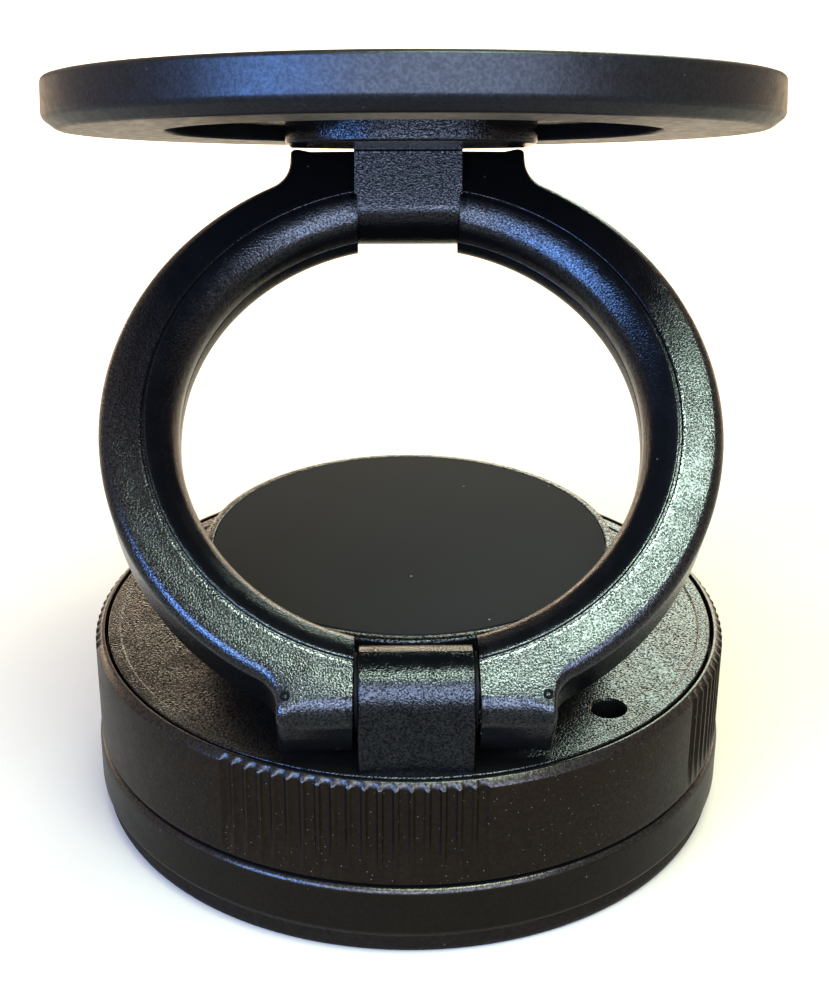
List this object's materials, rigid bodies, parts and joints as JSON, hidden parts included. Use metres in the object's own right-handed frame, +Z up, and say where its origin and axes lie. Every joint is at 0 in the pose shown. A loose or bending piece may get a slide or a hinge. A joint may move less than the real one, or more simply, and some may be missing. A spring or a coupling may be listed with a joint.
{
  "type": "magnetic phone mount",
  "caption": "Folding phone mount: twist-lock suction base, ring arm hinged at both ends and a round magnetic plate on a swivel hub.",
  "frame": {"origin": "centre of the suction face, on the surface the mount sits on", "axes": "+Z up out of the surface, +X along both hinge axes, -Y towards the lower hinge"},
  "size_m": [0.0584, 0.0642, 0.0768],
  "materials": {
    "rubber": "soft matte black suction rubber",
    "housing_plastic": "satin black moulded plastic",
    "grained_plastic": "black plastic with a spark-eroded grain",
    "ring_plastic": "black grained plastic, semi-gloss",
    "plate_shell": "satin black painted shell",
    "pad_sheet": "flat matte black sheet",
    "face_rubber": "matte black soft face",
    "steel": "plain steel",
    "magnet": "nickel-plated magnet",
    "washer_plastic": "natural acetal washer"
  },
  "bodies": {
    "base": {"suction_cup": "rubber", "lower_housing": "housing_plastic", "cover_screw_1": "steel", "cover_screw_2": "steel", "cover_screw_3": "steel", "glide_washer": "washer_plastic", "top_cover": "grained_plastic", "platform_pad": "pad_sheet"},
    "grip": {"grip_ring": "housing_plastic"},
    "lifter": {"lift_stem": "housing_plastic", "cross_pin": "steel"},
    "ring_arm": {"ring_left_front": "ring_plastic", "ring_right_front": "ring_plastic", "ring_left_back": "ring_plastic", "ring_right_back": "ring_plastic", "lower_pin": "steel", "lower_washer_right": "steel", "lower_washer_left": "steel", "upper_pin": "steel", "upper_washer_right": "steel", "upper_washer_left": "steel"},
    "hub": {"swivel_hub": "grained_plastic", "swivel_retainer": "steel", "swivel_screw": "steel"},
    "plate": {"plate_body": "plate_shell", "swivel_washer": "washer_plastic", "steel_yoke": "steel", "face_pad": "face_rubber", "magnet_1": "magnet", "magnet_2": "magnet", "magnet_3": "magnet", "magnet_4": "magnet", "magnet_5": "magnet", "magnet_6": "magnet", "magnet_7": "magnet", "magnet_8": "magnet"}
  },
  "joints": [
    {"name": "grip_twist", "type": "hinge", "parent": "base", "child": "grip", "pos_m": [0, 0, 0.012], "axis": [0, 0, 1], "range_deg": [0, 60]},
    {"name": "stem_lift", "type": "slide", "parent": "base", "child": "lifter", "axis": [0, 0, 1], "range_m": [0, 0.0025], "deforming": ["suction_cup"]},
    {"name": "ring_fold", "type": "hinge", "parent": "base", "child": "ring_arm", "pos_m": [0, -0.0235, 0.0224], "axis": [1, 0, 0], "range_deg": [-39, 51]},
    {"name": "plate_tilt", "type": "hinge", "parent": "ring_arm", "child": "hub", "pos_m": [0, 0.01318, 0.0521], "axis": [1, 0, 0], "range_deg": [-38.5, 56.5]},
    {"name": "plate_spin", "type": "hinge", "parent": "hub", "child": "plate", "pos_m": [0, -0.00764, 0.06423], "axis": [0, 0.3007, 0.9537], "continuous": true}
  ],
  "couplings": [
    {"joint": "stem_lift", "follows": "grip_twist", "m_per_rad": 0.0022918}
  ]
}
